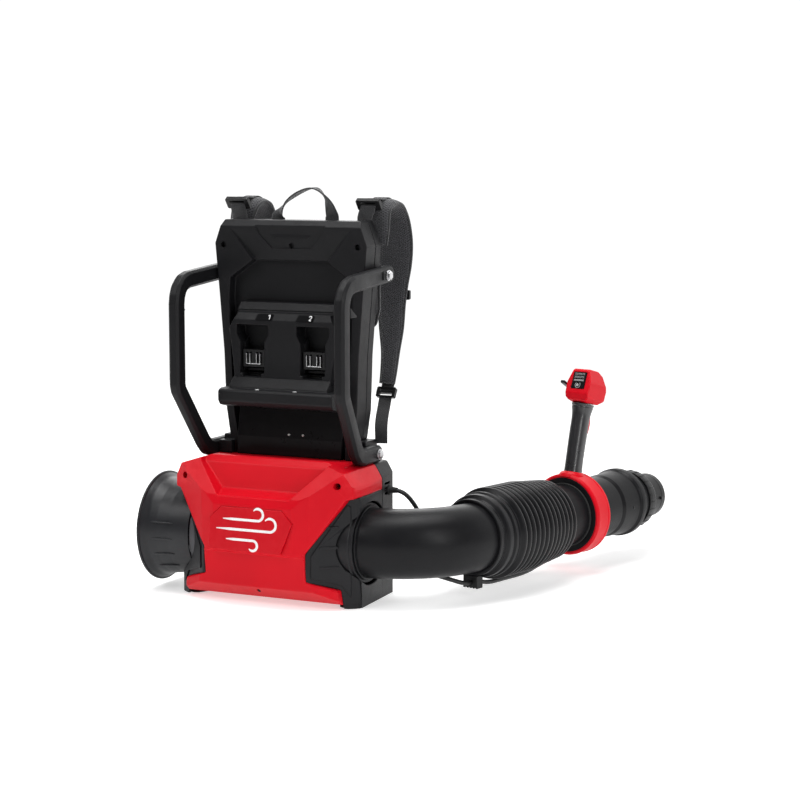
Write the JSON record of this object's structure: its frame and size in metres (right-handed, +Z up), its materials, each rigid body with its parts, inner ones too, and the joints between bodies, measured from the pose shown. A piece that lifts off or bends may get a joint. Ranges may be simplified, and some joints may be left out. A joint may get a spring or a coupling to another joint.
{
  "type": "backpack leaf blower",
  "caption": "Backpack leaf blower: fan housing with intake bell, carrying frame with battery bays, harness, and a swivelling blower tube with a control handle.",
  "frame": {"origin": "on the flat underside of the base, below the middle of the carrying frame", "axes": "+X towards the wearer's right, +Y towards the wearer's front, +Z up"},
  "size_m": [0.6746, 0.7383, 0.6575],
  "materials": {
    "red_shell": "satin moulded",
    "badge": "satin moulded",
    "black_shell": "fine textured",
    "frame_plastic": "fine textured",
    "gloss_black": "smooth",
    "bell_plastic": "fine textured",
    "rubber_black": "matt",
    "hose_rubber": "satin",
    "tube_plastic": "satin",
    "grip_rubber": "soft touch",
    "cable_rubber": "satin",
    "pad_fabric": "spacer mesh",
    "webbing": "woven",
    "steel": "zinc plated",
    "contact_metal": "plated",
    "winding": "enamelled wire",
    "magnet_steel": "ground",
    "lamp": "clear lens",
    "board": "solder mask"
  },
  "bodies": {
    "base": {"rear_housing": "red_shell", "base_shell": "black_shell", "outlet_cheek": "black_shell", "intake_cheek": "black_shell", "intake_bell": "bell_plastic", "intake_screen": "black_shell", "badge_plate": "badge", "foot_pads": "rubber_black", "fan_duct": "bell_plastic", "motor_pod": "bell_plastic", "motor_stator": "winding", "motor_bearings": "steel", "outlet_collar": "black_shell", "frame_rear_shell": "frame_plastic", "frame_front_shell": "frame_plastic", "bay_cover": "black_shell", "terminal_blocks": "black_shell", "terminal_blades": "contact_metal", "battery_shelf": "black_shell", "lower_panel": "gloss_black", "indicator_lamps": "lamp", "guard_bar_left": "frame_plastic", "guard_bar_right": "frame_plastic", "bar_bolts": "steel", "case_screws": "steel", "control_board": "board", "back_pad": "pad_fabric", "lumbar_pad": "pad_fabric", "shoulder_strap_left": "pad_fabric", "shoulder_strap_right": "pad_fabric", "top_webbing": "webbing", "ladder_locks": "black_shell", "lower_webbing": "webbing", "lower_buckles": "black_shell", "grab_handle": "webbing", "chest_clips": "black_shell", "cable_gland": "black_shell", "cable_base": "cable_rubber"},
    "fan": {"fan_rotor": "bell_plastic", "motor_shaft": "steel", "motor_rotor": "magnet_steel"},
    "elbow": {"elbow_tube": "tube_plastic", "bellows": "hose_rubber", "cable_clip": "black_shell", "cable_elbow": "cable_rubber"},
    "tube": {"swivel_tube": "tube_plastic", "nozzle_spigot": "tube_plastic", "cable_tube": "cable_rubber"},
    "liner": {"clamp_liner": "rubber_black", "cable_liner": "cable_rubber"},
    "handle": {"clamp_ring": "red_shell", "clamp_screw": "steel", "handle_grip": "grip_rubber", "handle_head": "red_shell", "switch_block": "board", "control_panel": "gloss_black", "trigger_spring": "steel"},
    "trigger_blade": {"trigger": "red_shell"},
    "cruise": {"cruise_lever": "rubber_black"},
    "button": {"power_button": "rubber_black"}
  },
  "joints": [
    {"name": "fan_spin", "type": "hinge", "parent": "base", "child": "fan", "pos_m": [0, -0.045, 0.098], "axis": [1, 0, 0], "continuous": true},
    {"name": "elbow_swivel", "type": "hinge", "parent": "base", "child": "elbow", "pos_m": [0.15, -0.045, 0.098], "axis": [1, 0, 0], "range_deg": [-30, 45], "deforming": ["cable_base"]},
    {"name": "bellows_bend", "type": "hinge", "parent": "elbow", "child": "tube", "pos_m": [0.31294, 0.1698, 0.098], "axis": [0, 0, 1], "range_deg": [-25, 25], "deforming": ["bellows", "cable_elbow"]},
    {"name": "handle_slide", "type": "slide", "parent": "tube", "child": "liner", "axis": [0.2419, 0.9703, 0], "range_m": [-0.01, 0.03], "deforming": ["cable_tube"]},
    {"name": "handle_turn", "type": "hinge", "parent": "liner", "child": "handle", "pos_m": [0.35552, 0.34058, 0.098], "axis": [0.2419, 0.9703, 0], "range_deg": [-25, 25], "deforming": ["cable_liner"]},
    {"name": "trigger_pull", "type": "hinge", "parent": "handle", "child": "trigger_blade", "pos_m": [0.3662, 0.38342, 0.27763], "axis": [-0.9703, 0.2419, 0], "range_deg": [0, 11], "stiffness_Nm_per_rad": 0.3, "springref_deg": -20.05},
    {"name": "cruise_set", "type": "hinge", "parent": "handle", "child": "cruise", "pos_m": [0.34244, 0.38733, 0.30698], "axis": [-0.9703, 0.2419, 0], "range_deg": [0, 50]},
    {"name": "power_press", "type": "slide", "parent": "handle", "child": "button", "axis": [0.2235, 0.8964, -0.3827], "range_m": [0, 0.0012], "stiffness_N_per_m": 400, "springref_m": -0.001}
  ]
}
